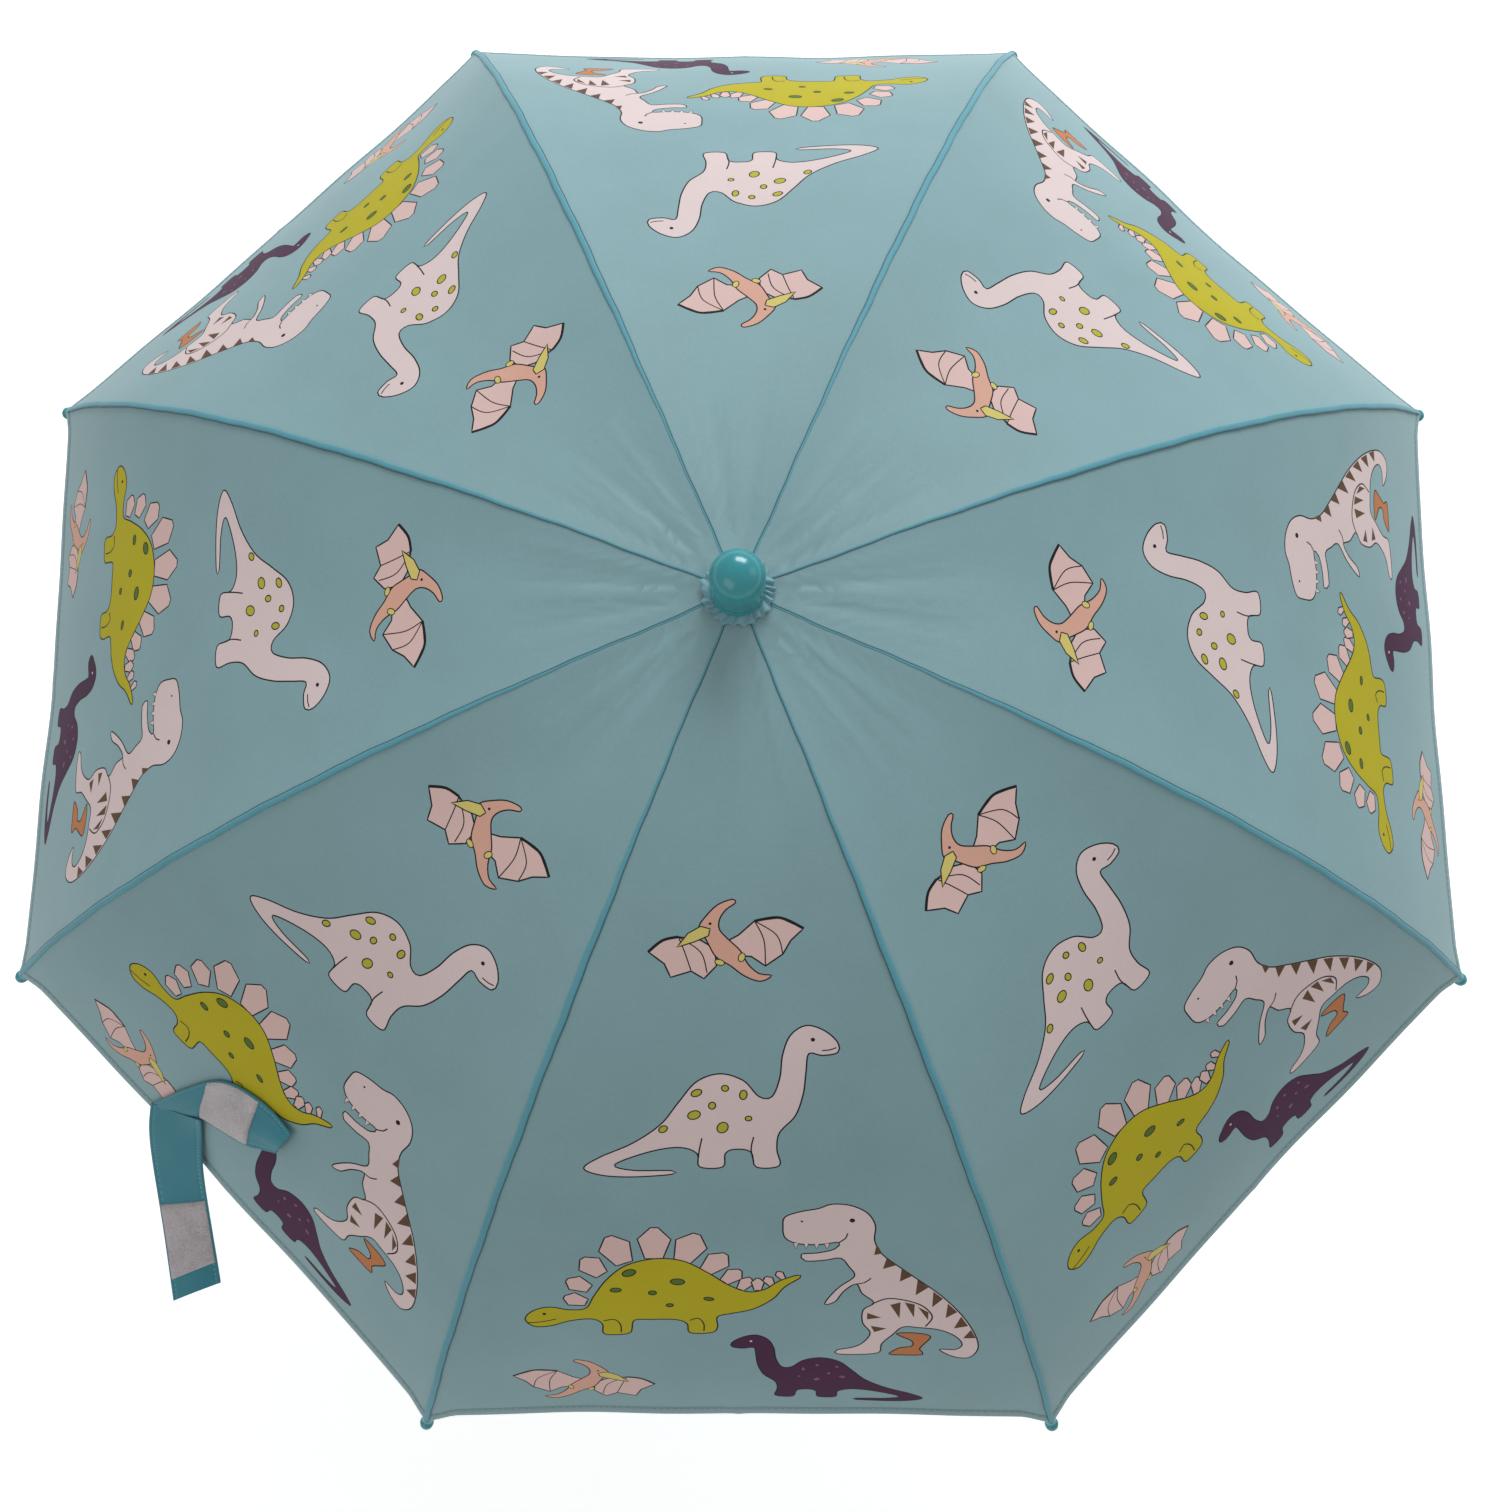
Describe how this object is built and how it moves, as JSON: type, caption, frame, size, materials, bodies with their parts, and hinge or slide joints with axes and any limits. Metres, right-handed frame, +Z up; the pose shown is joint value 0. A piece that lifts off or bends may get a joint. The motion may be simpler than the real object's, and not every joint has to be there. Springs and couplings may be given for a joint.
{
  "type": "children's stick umbrella",
  "caption": "Open children's stick umbrella: shallow ribbed fabric canopy on two-part sprung ribs and stretchers, sliding runner, ball tips, round cap, crook handle, tie strap.",
  "frame": {"origin": "on the shaft axis at the middle of the handle's straight grip", "axes": "+Z up the shaft from grip to cap; +X towards the free end of the crook; ribs at 22.5 + 45 k degrees from +X"},
  "size_m": [0.7836, 0.7836, 0.6559],
  "materials": {
    "shaft_tube": "plated, satin",
    "handle_plastic": "glossy",
    "bright_metal": "bright",
    "white_nylon": "matte",
    "wire": "drawn wire",
    "teal_plastic": "glossy",
    "pleated_fabric": "pleated polyester",
    "spring_steel": "satin",
    "black_nylon": "matte",
    "rib_steel": "zinc plated",
    "fibreglass_rod": "satin black",
    "canopy_fabric": "woven polyester with flat printed figures",
    "strap_fabric": "woven polyester, edge stitched",
    "hook_and_loop": "hook and loop tape"
  },
  "bodies": {
    "shaft_body": {"shaft": "shaft_tube", "handle": "handle_plastic", "handle_collar": "bright_metal", "top_notch": "white_nylon", "notch_ring": "wire", "ferrule_cap": "teal_plastic", "rosette": "pleated_fabric", "travel_stop": "wire"},
    "top_catch_body": {"top_catch": "spring_steel"},
    "bottom_catch_body": {"bottom_catch": "spring_steel"},
    "rib_1": {"rib_inner_1": "rib_steel", "canopy_1": "canopy_fabric"},
    "rod_1": {"rib_outer_1": "fibreglass_rod", "tip_1": "teal_plastic"},
    "stretcher_body_1": {"stretcher_1": "rib_steel"},
    "rib_2": {"rib_inner_2": "rib_steel", "canopy_2": "canopy_fabric"},
    "rod_2": {"rib_outer_2": "fibreglass_rod", "tip_2": "teal_plastic"},
    "stretcher_body_2": {"stretcher_2": "rib_steel"},
    "rib_3": {"rib_inner_3": "rib_steel", "canopy_3": "canopy_fabric"},
    "rod_3": {"rib_outer_3": "fibreglass_rod", "tip_3": "teal_plastic"},
    "stretcher_body_3": {"stretcher_3": "rib_steel"},
    "rib_4": {"rib_inner_4": "rib_steel", "canopy_4": "canopy_fabric"},
    "rod_4": {"rib_outer_4": "fibreglass_rod", "tip_4": "teal_plastic"},
    "stretcher_body_4": {"stretcher_4": "rib_steel"},
    "rib_5": {"rib_inner_5": "rib_steel", "canopy_5": "canopy_fabric"},
    "rod_5": {"rib_outer_5": "fibreglass_rod", "tip_5": "teal_plastic", "tie_strap": "strap_fabric", "strap_hook_patch": "hook_and_loop", "strap_loop_patch": "hook_and_loop"},
    "stretcher_body_5": {"stretcher_5": "rib_steel"},
    "rib_6": {"rib_inner_6": "rib_steel", "canopy_6": "canopy_fabric"},
    "rod_6": {"rib_outer_6": "fibreglass_rod", "tip_6": "teal_plastic"},
    "stretcher_body_6": {"stretcher_6": "rib_steel"},
    "rib_7": {"rib_inner_7": "rib_steel", "canopy_7": "canopy_fabric"},
    "rod_7": {"rib_outer_7": "fibreglass_rod", "tip_7": "teal_plastic"},
    "stretcher_body_7": {"stretcher_7": "rib_steel"},
    "rib_8": {"rib_inner_8": "rib_steel", "canopy_8": "canopy_fabric"},
    "rod_8": {"rib_outer_8": "fibreglass_rod", "tip_8": "teal_plastic"},
    "stretcher_body_8": {"stretcher_8": "rib_steel"},
    "runner_body": {"runner": "black_nylon", "runner_ring": "wire"}
  },
  "joints": [
    {"name": "rib_1_fold", "type": "hinge", "parent": "shaft_body", "child": "rib_1", "pos_m": [0.00831, 0.00344, 0.558], "axis": [-0.3827, 0.9239, 0], "range_deg": [0, 76.47], "deforming": ["canopy_1", "canopy_2", "canopy_3", "canopy_4", "canopy_5", "canopy_6", "canopy_7", "canopy_8", "tie_strap", "strap_hook_patch", "strap_loop_patch", "top_catch", "bottom_catch"]},
    {"name": "rib_2_fold", "type": "hinge", "parent": "shaft_body", "child": "rib_2", "pos_m": [0.00344, 0.00831, 0.558], "axis": [-0.9239, 0.3827, 0], "range_deg": [0, 76.47]},
    {"name": "rib_3_fold", "type": "hinge", "parent": "shaft_body", "child": "rib_3", "pos_m": [-0.00344, 0.00831, 0.558], "axis": [-0.9239, -0.3827, 0], "range_deg": [0, 76.47]},
    {"name": "rib_4_fold", "type": "hinge", "parent": "shaft_body", "child": "rib_4", "pos_m": [-0.00831, 0.00344, 0.558], "axis": [-0.3827, -0.9239, 0], "range_deg": [0, 76.47]},
    {"name": "rib_5_fold", "type": "hinge", "parent": "shaft_body", "child": "rib_5", "pos_m": [-0.00831, -0.00344, 0.558], "axis": [0.3827, -0.9239, 0], "range_deg": [0, 76.47]},
    {"name": "rib_6_fold", "type": "hinge", "parent": "shaft_body", "child": "rib_6", "pos_m": [-0.00344, -0.00831, 0.558], "axis": [0.9239, -0.3827, 0], "range_deg": [0, 76.47]},
    {"name": "rib_7_fold", "type": "hinge", "parent": "shaft_body", "child": "rib_7", "pos_m": [0.00344, -0.00831, 0.558], "axis": [0.9239, 0.3827, 0], "range_deg": [0, 76.47]},
    {"name": "rib_8_fold", "type": "hinge", "parent": "shaft_body", "child": "rib_8", "pos_m": [0.00831, -0.00344, 0.558], "axis": [0.3827, 0.9239, 0], "range_deg": [0, 76.47]},
    {"name": "rib_1_flex", "type": "hinge", "parent": "rib_1", "child": "rod_1", "pos_m": [0.22471, 0.09308, 0.51289], "axis": [-0.3827, 0.9239, 0], "range_deg": [-25.2, 0]},
    {"name": "rib_2_flex", "type": "hinge", "parent": "rib_2", "child": "rod_2", "pos_m": [0.09308, 0.22471, 0.51289], "axis": [-0.9239, 0.3827, 0], "range_deg": [-25.2, 0]},
    {"name": "rib_3_flex", "type": "hinge", "parent": "rib_3", "child": "rod_3", "pos_m": [-0.09308, 0.22471, 0.51289], "axis": [-0.9239, -0.3827, 0], "range_deg": [-25.2, 0]},
    {"name": "rib_4_flex", "type": "hinge", "parent": "rib_4", "child": "rod_4", "pos_m": [-0.22471, 0.09308, 0.51289], "axis": [-0.3827, -0.9239, 0], "range_deg": [-25.2, 0]},
    {"name": "rib_5_flex", "type": "hinge", "parent": "rib_5", "child": "rod_5", "pos_m": [-0.22471, -0.09308, 0.51289], "axis": [0.3827, -0.9239, 0], "range_deg": [-25.2, 0]},
    {"name": "rib_6_flex", "type": "hinge", "parent": "rib_6", "child": "rod_6", "pos_m": [-0.09308, -0.22471, 0.51289], "axis": [0.9239, -0.3827, 0], "range_deg": [-25.2, 0]},
    {"name": "rib_7_flex", "type": "hinge", "parent": "rib_7", "child": "rod_7", "pos_m": [0.09308, -0.22471, 0.51289], "axis": [0.9239, 0.3827, 0], "range_deg": [-25.2, 0]},
    {"name": "rib_8_flex", "type": "hinge", "parent": "rib_8", "child": "rod_8", "pos_m": [0.22471, -0.09308, 0.51289], "axis": [0.3827, 0.9239, 0], "range_deg": [-25.2, 0]},
    {"name": "stretcher_1_pivot", "type": "hinge", "parent": "rib_1", "child": "stretcher_body_1", "pos_m": [0.2165, 0.08968, 0.51204], "axis": [-0.3827, 0.9239, 0], "range_deg": [-153.14, 0]},
    {"name": "stretcher_2_pivot", "type": "hinge", "parent": "rib_2", "child": "stretcher_body_2", "pos_m": [0.08968, 0.2165, 0.51204], "axis": [-0.9239, 0.3827, 0], "range_deg": [-153.14, 0]},
    {"name": "stretcher_3_pivot", "type": "hinge", "parent": "rib_3", "child": "stretcher_body_3", "pos_m": [-0.08968, 0.2165, 0.51204], "axis": [-0.9239, -0.3827, 0], "range_deg": [-153.14, 0]},
    {"name": "stretcher_4_pivot", "type": "hinge", "parent": "rib_4", "child": "stretcher_body_4", "pos_m": [-0.2165, 0.08968, 0.51204], "axis": [-0.3827, -0.9239, 0], "range_deg": [-153.14, 0]},
    {"name": "stretcher_5_pivot", "type": "hinge", "parent": "rib_5", "child": "stretcher_body_5", "pos_m": [-0.2165, -0.08968, 0.51204], "axis": [0.3827, -0.9239, 0], "range_deg": [-153.14, 0]},
    {"name": "stretcher_6_pivot", "type": "hinge", "parent": "rib_6", "child": "stretcher_body_6", "pos_m": [-0.08968, -0.2165, 0.51204], "axis": [0.9239, -0.3827, 0], "range_deg": [-153.14, 0]},
    {"name": "stretcher_7_pivot", "type": "hinge", "parent": "rib_7", "child": "stretcher_body_7", "pos_m": [0.08968, -0.2165, 0.51204], "axis": [0.9239, 0.3827, 0], "range_deg": [-153.14, 0]},
    {"name": "stretcher_8_pivot", "type": "hinge", "parent": "rib_8", "child": "stretcher_body_8", "pos_m": [0.2165, -0.08968, 0.51204], "axis": [0.3827, 0.9239, 0], "range_deg": [-153.14, 0]},
    {"name": "runner_pivot", "type": "hinge", "parent": "stretcher_body_1", "child": "runner_body", "pos_m": [0.00831, 0.00344, 0.46607], "axis": [-0.3827, 0.9239, 0], "range_deg": [0, 76.57]},
    {"name": "top_catch_press", "type": "slide", "parent": "shaft_body", "child": "top_catch_body", "axis": [-1, 0, 0], "range_m": [0, 0.0026], "stiffness_N_per_m": 400, "springref_m": -0.0005},
    {"name": "bottom_catch_press", "type": "slide", "parent": "shaft_body", "child": "bottom_catch_body", "axis": [-1, 0, 0], "range_m": [0, 0.0026], "stiffness_N_per_m": 400, "springref_m": -0.0005}
  ],
  "couplings": [
    {"joint": "rib_2_fold", "follows": "rib_1_fold", "ratio": 1},
    {"joint": "rib_3_fold", "follows": "rib_1_fold", "ratio": 1},
    {"joint": "rib_4_fold", "follows": "rib_1_fold", "ratio": 1},
    {"joint": "rib_5_fold", "follows": "rib_1_fold", "ratio": 1},
    {"joint": "rib_6_fold", "follows": "rib_1_fold", "ratio": 1},
    {"joint": "rib_7_fold", "follows": "rib_1_fold", "ratio": 1},
    {"joint": "rib_8_fold", "follows": "rib_1_fold", "ratio": 1},
    {"joint": "rib_1_flex", "follows": "rib_1_fold", "ratio": -0.32692},
    {"joint": "rib_2_flex", "follows": "rib_1_fold", "ratio": -0.32692},
    {"joint": "rib_3_flex", "follows": "rib_1_fold", "ratio": -0.32692},
    {"joint": "rib_4_flex", "follows": "rib_1_fold", "ratio": -0.32692},
    {"joint": "rib_5_flex", "follows": "rib_1_fold", "ratio": -0.32692},
    {"joint": "rib_6_flex", "follows": "rib_1_fold", "ratio": -0.32692},
    {"joint": "rib_7_flex", "follows": "rib_1_fold", "ratio": -0.32692},
    {"joint": "rib_8_flex", "follows": "rib_1_fold", "ratio": -0.32692},
    {"joint": "stretcher_1_pivot", "follows": "rib_1_fold", "ratio": -2},
    {"joint": "stretcher_2_pivot", "follows": "rib_1_fold", "ratio": -2},
    {"joint": "stretcher_3_pivot", "follows": "rib_1_fold", "ratio": -2},
    {"joint": "stretcher_4_pivot", "follows": "rib_1_fold", "ratio": -2},
    {"joint": "stretcher_5_pivot", "follows": "rib_1_fold", "ratio": -2},
    {"joint": "stretcher_6_pivot", "follows": "rib_1_fold", "ratio": -2},
    {"joint": "stretcher_7_pivot", "follows": "rib_1_fold", "ratio": -2},
    {"joint": "stretcher_8_pivot", "follows": "rib_1_fold", "ratio": -2},
    {"joint": "runner_pivot", "follows": "rib_1_fold", "ratio": 1}
  ]
}
